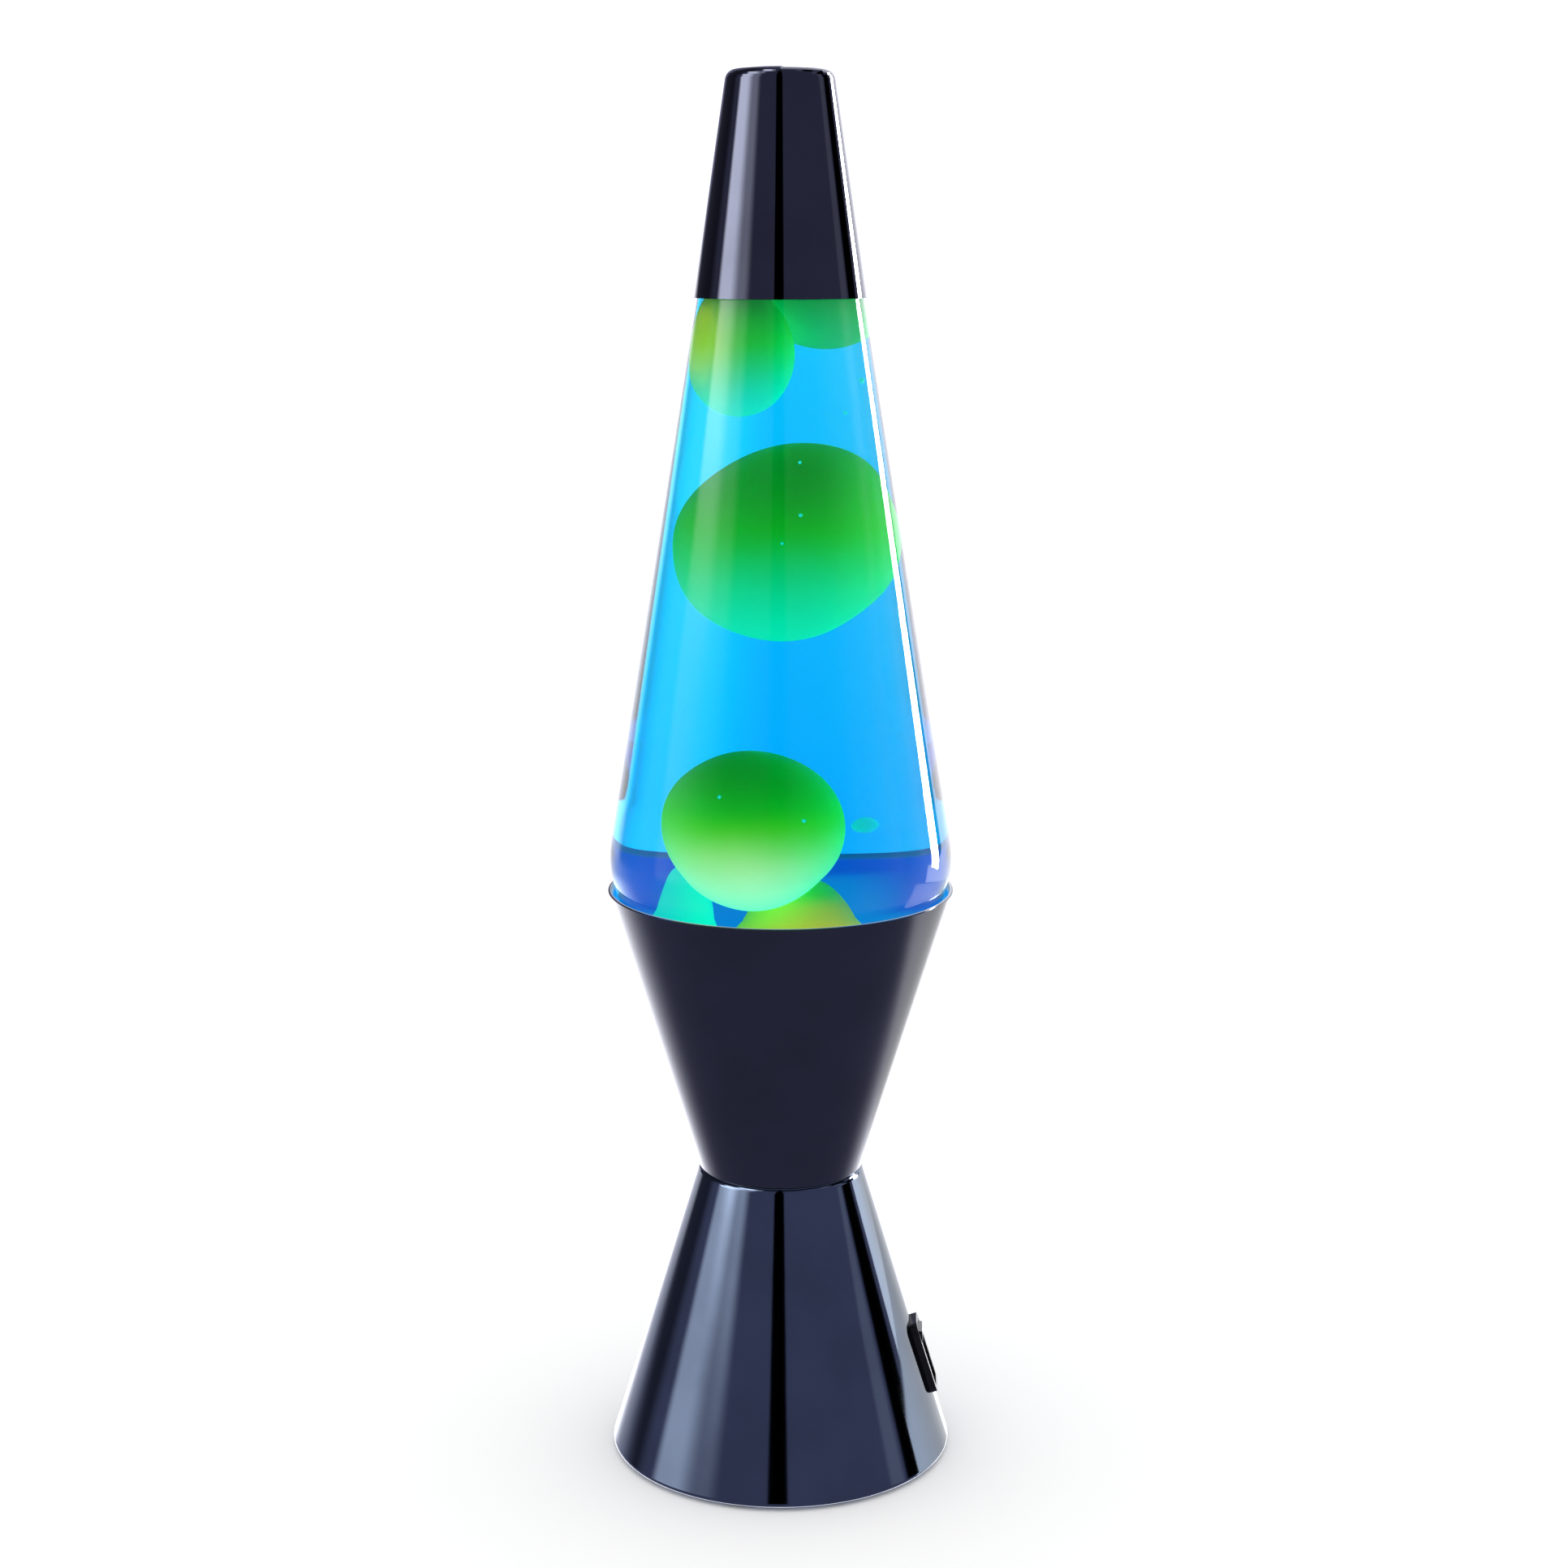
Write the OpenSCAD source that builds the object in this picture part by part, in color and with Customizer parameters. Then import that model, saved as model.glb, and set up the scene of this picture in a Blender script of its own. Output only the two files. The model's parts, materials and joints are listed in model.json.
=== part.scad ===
// Lava lamp: a two-cone sheet-metal base with a cup, a tapered glass bottle of coloured liquid and wax
// that stands in the cup over a small screw-in bulb, and a tapered metal cap over the bottle's neck.
// Origin: centre of the footprint, on the table. +Z is up, -Y is the front, +X is the side with the switch.

/* [Overall] */
// Height from the table to the top of the cap
lamp_h = 368.3; // [366:0.1:372]

/* [Base] */
// Diameter of the lower cone at its foot
base_d = 93; // [91:0.2:95]
// Height of the waist, where the lower cone meets the cup
waist_z = 79.5; // [79:0.1:80]
// Diameter of the waist
waist_d = 44; // [43.6:0.1:45]
// Height of the cup's rim
rim_z = 156.4; // [155:0.2:157]
// Diameter of the cup's rim
rim_d = 91.7; // [91.4:0.1:93]
// Thickness of the spun sheet
sheet_t = 0.8; // [0.7:0.05:0.9]
// Gap that the rubber feet leave under the base
foot_h = 0.7; // [0.6:0.1:1.2]

/* [Bottle] */
// Height of the bottle's heel above the table
bottle_z = 123; // [122.5:0.1:124]
// Radius of the bottle at its heel, before rounding
heel_r = 34.2; // [33.6:0.1:34.4]
// Height of the bottle's widest line
shoulder_z = 163.7; // [163:0.1:164.5]
// Radius of the bottle at its widest line, before rounding
shoulder_r = 45.85; // [45.5:0.05:46]
// Thickness of the glass
glass_t = 2.3; // [2:0.1:2.6]
// Height of the liquid's surface, under the cap
fill_z = 324; // [320:1:328]

/* [Cap] */
// Height of the cap's lower edge
cap_z = 311.2; // [310.5:0.1:312]
// Diameter of the cap's lower edge
cap_d = 44.4; // [44.3:0.1:45]
// Diameter of the cap's top, before rounding
cap_top_d = 27.3; // [26.5:0.1:29]
// Thickness of the cap's sheet
cap_t = 0.5; // [0.4:0.05:0.5]

/* [Switch] */
// Height of the switch's centre
switch_z = 25; // [24:0.5:27]
// Turn of the switch towards the front, in degrees
switch_turn = 2; // [0:1:6]
// Tilt of the rocker either way, in degrees
rocker_tilt = 8; // [6:1:9]

/* [Hidden] */
$fn = 96;

// Sheet-metal cones
base_r = base_d / 2;
waist_r = waist_d / 2;
rim_r = rim_d / 2;
hem_r = 37.5;           // inner edge of the hem under the lower cone
hem_bend = 1;
neck_bend = 1.5;
floor_bend = 0.9;
bulb_hole_r = 14.5;     // opening in the cup's floor
cone_lean = atan((base_r - waist_r) / (waist_z - foot_h));

// Waist joint
plate_t = 1;
plate_r = 19.5;
plate_z = waist_z - sheet_t - plate_t;
waist_bolt_r = 17.3;
bolt_count = 3;
m3_r = 1.45;
m3_hole_r = 1.6;

// Lamp holder and bulb
holder_r = 12;
holder_top = waist_z + 0.5;
holder_bottom = 50;
ear_t = 2.5;
ear_w = 10;
ear_reach = 18.6;
ear_bolt_r = 15.3;
thread_pitch = 2.82;
thread_turns = 5;
thread_mid_r = 6.55;
thread_depth = 0.38;
thread_z = 60.5;        // where the bulb's thread starts
thread_gap = 0.3;
thread_t = 0.4;
holder_bore_r = thread_mid_r + thread_gap + thread_t + thread_depth + 0.02;
bulb_top = 115;
bulb_r = 17;
bulb_neck_r = 6;
bulb_glass_t = 0.7;

// Bottom cover
cover_z = foot_h + sheet_t;
cover_t = 1;
cover_r = 43.2;
cover_bolt_r = 41;
vent_slots = 12;
dish_r = 9;              // raised middle of the cover
dish_rise = 0.8;

// Switch and cord bush
bezel_l = 20.6;
bezel_w = 12;
bezel_t = 1.4;
bezel_corner = 2.6;
housing_l = 18;
housing_w = 10.4;
housing_depth = 12;
rocker_r = 8.3;         // the rocker's ends are arcs about its pin
rocker_w = 7.3;
rocker_face = 2.8;      // height of the rocker's ends over its pin
rocker_dip = 1.9;       // height of its middle
pocket_w = 7.8;
pocket_l = 17.3;
pin_l = 9.4;
pin_x = -1.5;           // depth of the rocker's pin behind the cone's surface
pin_r = 1.2;
pin_gap = 0.05;
bush_z = 17;
bush_turn = 90;         // the cord bush is at the back
bush_bore_r = 3.2;
bush_hole_r = 4.4;
bush_flange_r = 5.8;
bush_inside = 4;
bush_outside = 2.6;

// Bottle neck
neck_r = 12.6;
neck_z = 330;
bead_r = 13.3;
bead_z = 338.2;
lip_z = 345;
crown_t = 0.35;
liner_t = 1.2;
flutes = 21;
film = 0.1;             // gap between the glass and what it holds

// Wax: each blob is [x, y, z, half width, half height]
blob_upper = [-8.9, -4.6, 296.0, 10.9, 15.2];
blob_upper_right = [8.0, 4.2, 309.6, 9.9, 12.9];
blob_middle = [1.7, 0, 248.8, 22.2, 25.5];
blob_lower = [-5.9, -14, 176.4, 19.6, 20.0];
blob_pool = [0, 0, 127.5, 31, 10];
blob_mound = [3.6, -2, 138, 15.7, 22.5];
blob_side = [-18.6, 12, 141, 7.6, 19.3];
droplets = [
    [15.4, 13, 170.9, 2.5, 2.1], [18, -6, 290, 0.9, 0.9],
    [12, 16, 218, 0.8, 0.8], [-20, 8, 214, 0.9, 1.1]
];
blob_step = 10;
wax_gap = 0.3;          // the liquid stays this far off a blob that moves

// Coil ring on the bottle's floor
coil_r = 26.5;
coil_tube_r = 2.6;
coil_z = 129.6;

// Leads inside the base
lead_d = 2;
block_at = [-13, 17, cover_z + cover_t];
block_size = [22, 15, 10];
earth_at = [-30, -8, cover_z + cover_t];

// ---------- Outlines ----------

function unit(v) = v / norm(v);
function left(v) = [-v[1], v[0]];
function lerp(a, b, t) = a + (b - a) * t;

// Arc of radius r that replaces the corner b of the path a-b-c
function corner_arc(a, b, c, r, n) =
    let (u = unit(a - b), v = unit(c - b), half = acos(u * v) / 2, centre = b + unit(u + v) * r / sin(half),
         p = b + u * r / tan(half) - centre, q = b + v * r / tan(half) - centre,
         start = atan2(p[1], p[0]), sweep = (atan2(q[1], q[0]) - start + 540) % 360 - 180)
    [for (i = [0:n]) centre + r * [cos(start + sweep * i / n), sin(start + sweep * i / n)]];

// The path with each corner rounded to its own radius
function rounded(path, radii, n = 6) =
    [for (i = [0:len(path) - 1])
        each (radii[i] == 0 ? [path[i]] : corner_arc(path[i - 1], path[i], path[i + 1], radii[i], n))];

// Sideways step at point i of a path that moves both of its neighbours over by 1
function mitre(path, i) =
    let (last = len(path) - 1,
         before = left(unit(i == 0 ? path[1] - path[0] : path[i] - path[i - 1])),
         after = left(unit(i == last ? path[last] - path[last - 1] : path[i + 1] - path[i])),
         middle = unit(before + after))
    middle / (middle * before);
function moved(path, t) = [for (i = [0:len(path) - 1]) path[i] + t * mitre(path, i)];
function backwards(path) = [for (i = [len(path) - 1:-1:0]) path[i]];
// Closed outline of a sheet of thickness t on the left of the path
function thickened(path, t) = concat(path, backwards(moved(path, t)));

function lower_cone_r(z) = lerp(base_r, waist_r, (z - foot_h) / (waist_z - foot_h));
function lower_cone_path() = rounded(
    [[hem_r, foot_h], [base_r, foot_h], [waist_r, waist_z], [bulb_hole_r, waist_z]], [0, hem_bend, neck_bend, 0]);
function cup_path() = rounded(
    [[bulb_hole_r, waist_z], [waist_r - 0.2, waist_z], [rim_r, rim_z]], [0, floor_bend, 0]);
function cap_path() = rounded(
    [[cap_d / 2, cap_z], [cap_top_d / 2, lamp_h - 0.8], [6, lamp_h - 0.1], [1.5, lamp_h], [0, lamp_h]],
    [0, 2.8, 40, 40, 0]);
function bottle_path() = rounded(
    [[0, bottle_z + 3.8], [10, bottle_z + 3.8], [27, bottle_z], [heel_r, bottle_z], [shoulder_r, shoulder_z],
     [19.6, 322], [neck_r, neck_z], [neck_r, bead_z], [bead_r, bead_z + 1], [bead_r, lip_z - 1.6], [12.2, lip_z]],
    [0, 20, 12, 5, 25, 8, 5, 0.8, 0.6, 1, 0]);
function wavy(a) = thread_depth * cos(a);
// Rolled thread: rings of one pitch, as [radius, height]
function thread_path(extra, turns) =
    [for (i = [0:turns * 8]) [thread_mid_r + extra + wavy(i * 45), thread_z + i * thread_pitch / 8]];

module lathe(outline) rotate_extrude() polygon(outline);
module ring_of(count, start = 0) for (i = [0:count - 1]) rotate([0, 0, start + i * 360 / count]) children();
// Puts its children on the lower cone's surface, with +X outwards and +Z up the slope
module on_cone(turn, z) rotate([0, 0, turn]) translate([lower_cone_r(z), 0, z])
    rotate([0, -cone_lean, 0]) children();
module blob(b, grow = 0) translate([b[0], b[1], b[2]])
    lathe([for (a = [-90:blob_step:90]) [(b[3] + grow) * max(cos(a), 0), (b[4] + grow) * sin(a)]]);
module pan_screw(r, head_r, head_h, length) {
    translate([0, 0, -length]) cylinder(r = r, h = length);
    difference() {
        cylinder(r = head_r, h = head_h);
        translate([0, 0, head_h]) cube([head_r * 1.5, 0.6, head_h], center = true);
        translate([0, 0, head_h]) cube([0.6, head_r * 1.5, head_h], center = true);
    }
}

// ---------- Base ----------

module switch_cutout() on_cone(-switch_turn, switch_z)
    cube([12, housing_w + 0.2, housing_l + 0.2], center = true);
module bush_cutout() on_cone(bush_turn, bush_z) rotate([0, 90, 0])
    cylinder(r = bush_hole_r, h = 12, center = true);

module lower_cone() color([0.10, 0.11, 0.17]) difference() {
    lathe(thickened(lower_cone_path(), sheet_t));
    ring_of(bolt_count, 90) translate([waist_bolt_r, 0, waist_z - 5]) cylinder(r = m3_hole_r, h = 10);
    ring_of(bolt_count, 30) translate([cover_bolt_r, 0, -1]) cylinder(r = m3_hole_r, h = 5);
    switch_cutout();
    bush_cutout();
}

module cup_cone() color([0.10, 0.10, 0.15]) difference() {
    lathe(thickened(cup_path(), sheet_t));
    ring_of(bolt_count, 90) translate([waist_bolt_r, 0, waist_z - 5]) cylinder(r = m3_hole_r, h = 10);
}

module socket_plate() color("silver") difference() {
    translate([0, 0, plate_z]) cylinder(r = plate_r, h = plate_t);
    translate([0, 0, plate_z - 1]) cylinder(r = holder_r + 0.2, h = 4);
    ring_of(bolt_count, 90) translate([waist_bolt_r, 0, plate_z - 1]) cylinder(r = m3_hole_r, h = 4);
    ring_of(2) translate([ear_bolt_r, 0, plate_z - 1]) cylinder(r = m3_hole_r, h = 4);
}

module waist_screws() color("silver") ring_of(bolt_count, 90)
    translate([waist_bolt_r, 0, waist_z + sheet_t]) pan_screw(m3_r, 2.6, 1.6, 8);

module waist_nuts() color("silver") ring_of(bolt_count, 90)
    translate([waist_bolt_r, 0, plate_z - 2.2]) difference() {
        cylinder(d = 5.6, h = 2.2, $fn = 6);
        translate([0, 0, -1]) cylinder(r = m3_r + 0.05, h = 5);
    }

module lamp_holder() color("ivory") difference() {
    union() {
        translate([0, 0, holder_bottom]) cylinder(r = holder_r, h = holder_top - holder_bottom);
        intersection() {
            translate([0, 0, plate_z - ear_t]) cylinder(r = ear_reach, h = ear_t);
            translate([0, 0, plate_z - ear_t / 2]) cube([50, ear_w, ear_t], center = true);
        }
    }
    translate([0, 0, holder_bottom + 3]) cylinder(r = holder_bore_r, h = 40);
    ring_of(2) translate([ear_bolt_r, 0, plate_z - 5]) cylinder(r = m3_hole_r, h = 8);
    // slots that the two leads come in through
    for (side = [-1, 1]) translate([side * 6, 0, holder_bottom + 1]) cylinder(r = 1.3, h = 6, center = true);
}

module holder_thread() color("goldenrod") lathe(concat(
    backwards(thread_path(thread_gap, thread_turns)),
    thread_path(thread_gap + thread_t, thread_turns)));

module holder_contact() color("goldenrod") {
    translate([0, 0, holder_bottom + 3.4]) cube([11, 4, 0.8], center = true);
    translate([0, 0, holder_bottom + 5.2]) cube([5, 4, 2.8], center = true);
}

module holder_screws() color("silver") ring_of(2)
    translate([ear_bolt_r, 0, plate_z - ear_t]) mirror([0, 0, 1]) pan_screw(m3_r, 2.5, 1.6, ear_t + plate_t);

module bottom_cover() color([0.16, 0.16, 0.18]) difference() {
    union() {
        translate([0, 0, cover_z]) cylinder(r = cover_r, h = cover_t);
        translate([0, 0, cover_z]) cylinder(r = dish_r, h = cover_t + dish_rise);
    }
    translate([0, 0, cover_z - 1]) cylinder(r = dish_r - cover_t, h = 1 + dish_rise);
    ring_of(bolt_count, 30) translate([cover_bolt_r, 0, cover_z - 1]) cylinder(r = m3_r + 0.05, h = 4);
    ring_of(vent_slots, 15) translate([21, 0, cover_z + cover_t / 2]) vent_slot();
    translate([block_at[0], block_at[1], cover_z - 1]) cylinder(r = 2, h = 4);
    translate([earth_at[0], earth_at[1], cover_z - 1]) cylinder(r = m3_r + 0.05, h = 4);
}
module vent_slot() {
    cube([9, 2.4, 4], center = true);
    for (end = [-4.5, 4.5]) translate([end, 0, 0]) cylinder(r = 1.2, h = 4, center = true);
}

module cover_screws() color("silver") ring_of(bolt_count, 30)
    translate([cover_bolt_r, 0, foot_h]) mirror([0, 0, 1]) pan_screw(m3_r, 2.5, foot_h - 0.2, 5);

module feet() color([0.05, 0.05, 0.05]) ring_of(4, 75) translate([cover_bolt_r, 0, 0])
    lathe(rounded([[0, 0], [3.2, 0], [3.4, foot_h], [0, foot_h]], [0, 0.4, 0, 0]));

// ---------- Switch, cord inlet and wiring ----------

module solid_lower_cone(inset = 0)
    translate([0, 0, foot_h]) cylinder(r1 = base_r - inset, r2 = waist_r - inset, h = waist_z - foot_h);
module rounded_slab(x, y, z, r) rotate([0, 90, 0]) linear_extrude(x, center = true) {
    square([z - 2 * r, y], center = true);
    square([z, y - 2 * r], center = true);
    for (i = [-1, 1], j = [-1, 1]) translate([i * (z / 2 - r), j * (y / 2 - r)]) circle(r = r, $fn = 48);
}

module switch_housing() color([0.03, 0.03, 0.03]) difference() {
    union() {
        difference() {
            on_cone(-switch_turn, switch_z) translate([bezel_t / 2 - 1, 0, 0])
                rounded_slab(bezel_t + 2, bezel_w, bezel_l, bezel_corner);
            solid_lower_cone();
        }
        on_cone(-switch_turn, switch_z) translate([(1 - housing_depth) / 2, 0, 0])
            cube([housing_depth + 1, housing_w, housing_l], center = true);
    }
    on_cone(-switch_turn, switch_z) {
        translate([-1, 0, 0]) cube([9.6, pocket_w, pocket_l], center = true); // open at the bezel's face
        translate([pin_x, 0, 0]) rotate([90, 0, 0]) cylinder(r = pin_r + pin_gap, h = pin_l + 0.4, center = true);
    }
}

module switch_terminals() color("silver") on_cone(-switch_turn, switch_z) for (side = [-4.5, 4.5])
    translate([-housing_depth - 3.5, 0, side]) difference() {
        cube([7, 4.8, 0.8], center = true);
        translate([-1.5, 0, 0]) cylinder(r = 0.8, h = 2, center = true);
    }

// The rocker's side view, with its pin at the origin and its face towards +X
module rocker_side() intersection() {
    circle(r = rocker_r, $fn = 96);
    polygon([[-3, -7.5], [-3, 7.5], [0, 9], [rocker_face, 9], [rocker_dip, 0], [rocker_face, -9], [0, -9]]);
}
module rocker() color([0.02, 0.02, 0.02]) on_cone(-switch_turn, switch_z) translate([pin_x, 0, 0])
    rotate([0, rocker_tilt, 0]) rotate([90, 0, 0]) {
        linear_extrude(rocker_w, center = true) rocker_side();
        cylinder(r = pin_r, h = pin_l, center = true);
    }

module cord_bush() color([0.04, 0.04, 0.04]) difference() {
    on_cone(bush_turn, bush_z) rotate([0, 90, 0]) difference() {
        lathe(rounded(
            [[0, -bush_inside], [bush_flange_r, -bush_inside], [bush_flange_r, bush_outside - 0.5],
             [0, bush_outside]],
            [0, 1, 1, 0]));
        translate([0, 0, -bush_inside - 1]) cylinder(r = bush_bore_r, h = bush_inside + bush_outside + 2);
    }
    difference() {
        solid_lower_cone();
        solid_lower_cone(sheet_t / cos(cone_lean));
        bush_cutout();
    }
}

module terminal_block() color("ivory") difference() {
    union() {
        translate(block_at + [0, 0, block_size[2] / 2]) cube(block_size, center = true);
        translate(block_at - [0, 0, 1.5]) cylinder(r = 1.95, h = 2);
        translate(block_at - [0, 0, 1.6]) cylinder(r = 3, h = 0.6);
    }
    for (pole = [-1, 0, 1]) translate(block_at + [pole * 6.6, 0, 5]) {
        rotate([90, 0, 0]) cylinder(r = 2.2, h = 30, center = true);
        for (end = [-4, 4]) translate([0, end, 0]) cylinder(r = 2, h = 8);
    }
}

module terminal_clamps() color("goldenrod") for (pole = [-1, 0, 1]) translate(block_at + [pole * 6.6, 0, 5]) {
    difference() {
        rotate([90, 0, 0]) cylinder(r = 2.1, h = 12, center = true);
        rotate([90, 0, 0]) cylinder(r = 1.3, h = 20, center = true);
    }
    for (end = [-4, 4]) translate([0, end, 1.7]) difference() {
        cylinder(r = 1.4, h = 2.6);
        translate([0, 0, 2.4]) cube([4, 0.5, 1], center = true);
    }
}

module earth_screw() color("silver") translate(earth_at) pan_screw(m3_r, 2.5, 1.6, cover_t);

// Routes of the leads, through points chosen by hand
live_route = [[-19.6, 14, 7.5], [-19.6, 8.5, 7.5], [-17, 4, 8], [-8, -3, 9], [4, -6, 9.5], [12, -4.2, 11],
    [17.3, -1.7, 13.2], [21.4, -0.8, 14.8]];
switched_route = [[18.8, -0.6, 23.3], [13.1, -0.6, 23], [7, 1, 27], [5, 2, 36], [6, 1, 44], [6, 0, 51]];
neutral_route = [[-13, 14, 7.5], [-13, 8.5, 7.5], [-12, 4, 11], [-9, 1, 18], [-6, 0, 30], [-6, 0, 42],
    [-6, 0, 51]];
earth_route = [[-6.4, 14, 7.5], [-6.4, 8.5, 7.5], [-8, 2, 6], [-13, -5, 5], [-20, -8, 4.5], [-27, -8, 4.2]];
ring_sides = 8;
steps_per_span = 4;
sideways = [0.3, 0.6, -0.75];

// Smooth curve through every point of the route
function through(p, t) = let (i = min(floor(t), len(p) - 2), s = t - i,
    a = p[max(i - 1, 0)], b = p[i], c = p[i + 1], d = p[min(i + 2, len(p) - 1)])
    0.5 * (2 * b + (c - a) * s + (2 * a - 5 * b + 4 * c - d) * s * s + (3 * b - a - 3 * c + d) * s * s * s);
function curve(p) = let (n = (len(p) - 1) * steps_per_span) [for (i = [0:n]) through(p, i / steps_per_span)];
module lead(route) {
    c = curve(route);
    n = len(c);
    rings = [for (i = [0:n - 1])
        let (along = unit(c[min(i + 1, n - 1)] - c[max(i - 1, 0)]),
             u = unit(cross(along, sideways)), v = cross(along, u))
        for (k = [0:ring_sides - 1])
            c[i] + lead_d / 2 * (u * cos(k * 360 / ring_sides) + v * sin(k * 360 / ring_sides))];
    sides = [for (i = [0:n - 2], k = [0:ring_sides - 1]) let (next = (k + 1) % ring_sides)
        [i * ring_sides + k, i * ring_sides + next, (i + 1) * ring_sides + next, (i + 1) * ring_sides + k]];
    ends = [[for (k = [ring_sides - 1:-1:0]) k], [for (k = [0:ring_sides - 1]) (n - 1) * ring_sides + k]];
    polyhedron(rings, concat(sides, ends));
}
module live_lead() color("saddlebrown") lead(live_route);
module switched_lead() color("saddlebrown") lead(switched_route);
module neutral_lead() color("royalblue") lead(neutral_route);
module earth_lead() color("yellowgreen") lead(earth_route);

// ---------- Bulb ----------

shell_top = thread_z + thread_turns * thread_pitch + 4.5;
bulb_centre = bulb_top - bulb_r;
function bulb_path() = rounded(
    [[bulb_neck_r, thread_z + 3], [bulb_neck_r, shell_top + 3], [bulb_r + 0.4, bulb_centre - 4],
     [bulb_r, bulb_top - 2], [0, bulb_top]], [0, 7, 11, 13, 0], 8);

module bulb_glass() color([0.9, 0.9, 0.85, 0.4]) lathe(bulb_outline());
function bulb_outline() = let (path = bulb_path(), inside = moved(path, bulb_glass_t))
    concat(path, [[0, bulb_top - bulb_glass_t]], backwards([for (i = [0:len(inside) - 2]) inside[i]]));

module bulb_shell() color("silver") lathe(concat(
    thread_path(0, thread_turns),
    [[thread_mid_r + 0.7, shell_top - 3.6], [thread_mid_r + 0.7, shell_top], [bulb_neck_r + 0.05, shell_top]],
    [[bulb_neck_r + 0.05, thread_z]]));

module bulb_insulator() color([0.05, 0.05, 0.06]) translate([0, 0, thread_z - 2.6])
    cylinder(r1 = 3.4, r2 = bulb_neck_r, h = 2.6);
module bulb_contact() color("silver") translate([0, 0, thread_z - 3.6]) cylinder(r = 2.3, h = 1);

module bulb_filament() color([0.75, 0.75, 0.7]) {
    translate([0, 0, thread_z + 6]) cylinder(r1 = 4.5, r2 = 2, h = 22);
    for (side = [-1, 1]) translate([side * 1.6, 0, thread_z + 26]) rotate([0, side * 32, 0])
        cylinder(r = 0.3, h = 12);
    translate([0, 0, thread_z + 35.6]) rotate([90, 0, 0]) rotate_extrude(angle = 180)
        translate([7.6, 0]) circle(r = 0.5, $fn = 24);
}

// ---------- Bottle ----------

module bottle() color([0.85, 0.95, 1, 0.3]) lathe(thickened(bottle_path(), glass_t));

// All the room inside the bottle up to the liquid's surface
module contents() intersection() {
    lathe(concat(moved(bottle_path(), glass_t + film), [[0, lip_z]]));
    cylinder(r = 60, h = fill_z);
}

module crown() color([0.75, 0.75, 0.78]) translate([0, 0, lip_z + liner_t - 6]) difference() {
    cylinder(r1 = 15.2, r2 = 14, h = 6 + crown_t);
    translate([0, 0, -0.01]) cylinder(r1 = 13.8, r2 = 13.6, h = 6.01);
    ring_of(flutes) translate([15.7, 0, -1]) cylinder(r = 1.25, h = 5.6, $fn = 24);
}
module crown_liner() color([0.3, 0.5, 0.45]) translate([0, 0, lip_z + 0.02])
    cylinder(r = 13.2, h = liner_t - 0.04);

module coil_ring(grow = 0) translate([0, 0, coil_z]) rotate_extrude()
    translate([coil_r, 0]) circle(r = coil_tube_r + grow, $fn = 32);
module heat_coil() color("silver") coil_ring();

module liquid() color([0, 0.6, 0.95, 0.5]) difference() {
    contents();
    mound_shape(film);
    blob(blob_upper_right, film);
    for (b = droplets) blob(b, film);
    for (b = [blob_upper, blob_middle, blob_lower]) blob(b, wax_gap);
    coil_ring(film);
}

// ---------- Wax ----------

wax_colour = [0.85, 0.93, 0.15];
module mound_shape(grow = 0) {
    blob(blob_pool, grow);
    blob(blob_mound, grow);
    blob(blob_side, grow);
}
module wax_mound() color(wax_colour) difference() {
    intersection() {
        contents();
        mound_shape();
    }
    coil_ring(film);
    blob(blob_lower, wax_gap);
}
module wax_upper_right() color(wax_colour) blob(blob_upper_right);
module wax_droplets() color(wax_colour) for (b = droplets) blob(b);
module wax_upper() color(wax_colour) blob(blob_upper);
module wax_middle() color(wax_colour) blob(blob_middle);
module wax_lower() color(wax_colour) blob(blob_lower);

// ---------- Cap ----------

module top_cap() color([0.08, 0.08, 0.12]) lathe(thickened(cap_path(), cap_t));

lower_cone();
cup_cone();
socket_plate();
waist_screws();
waist_nuts();
lamp_holder();
holder_thread();
holder_contact();
holder_screws();
bottom_cover();
cover_screws();
feet();
switch_housing();
switch_terminals();
cord_bush();
terminal_block();
terminal_clamps();
live_lead();
switched_lead();
neutral_lead();
earth_lead();
earth_screw();
rocker();
bulb_glass();
bulb_shell();
bulb_insulator();
bulb_contact();
bulb_filament();
bottle();
crown();
crown_liner();
liquid();
heat_coil();
wax_mound();
wax_upper_right();
wax_droplets();
wax_upper();
wax_middle();
wax_lower();
top_cap();
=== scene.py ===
"""Lava lamp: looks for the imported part, in metres, in the part's own frame."""

import json
import math

import bmesh
import bpy
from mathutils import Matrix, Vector, noise


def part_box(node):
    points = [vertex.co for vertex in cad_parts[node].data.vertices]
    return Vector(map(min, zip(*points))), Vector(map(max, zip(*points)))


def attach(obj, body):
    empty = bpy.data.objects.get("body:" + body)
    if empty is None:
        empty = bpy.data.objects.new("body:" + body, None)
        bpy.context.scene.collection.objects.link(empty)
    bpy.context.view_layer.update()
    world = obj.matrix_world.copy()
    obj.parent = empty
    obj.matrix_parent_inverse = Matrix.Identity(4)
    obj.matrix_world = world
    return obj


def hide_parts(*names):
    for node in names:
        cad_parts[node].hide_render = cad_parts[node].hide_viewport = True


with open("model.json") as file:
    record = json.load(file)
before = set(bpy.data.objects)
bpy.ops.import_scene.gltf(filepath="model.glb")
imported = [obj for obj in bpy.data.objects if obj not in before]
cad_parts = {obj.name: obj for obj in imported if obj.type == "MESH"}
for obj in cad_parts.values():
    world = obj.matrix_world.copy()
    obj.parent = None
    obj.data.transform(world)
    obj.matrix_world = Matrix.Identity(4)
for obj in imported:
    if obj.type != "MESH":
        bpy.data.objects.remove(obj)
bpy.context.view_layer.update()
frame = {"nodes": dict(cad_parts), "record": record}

MM = 0.001

# ---------- Camera ----------

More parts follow.
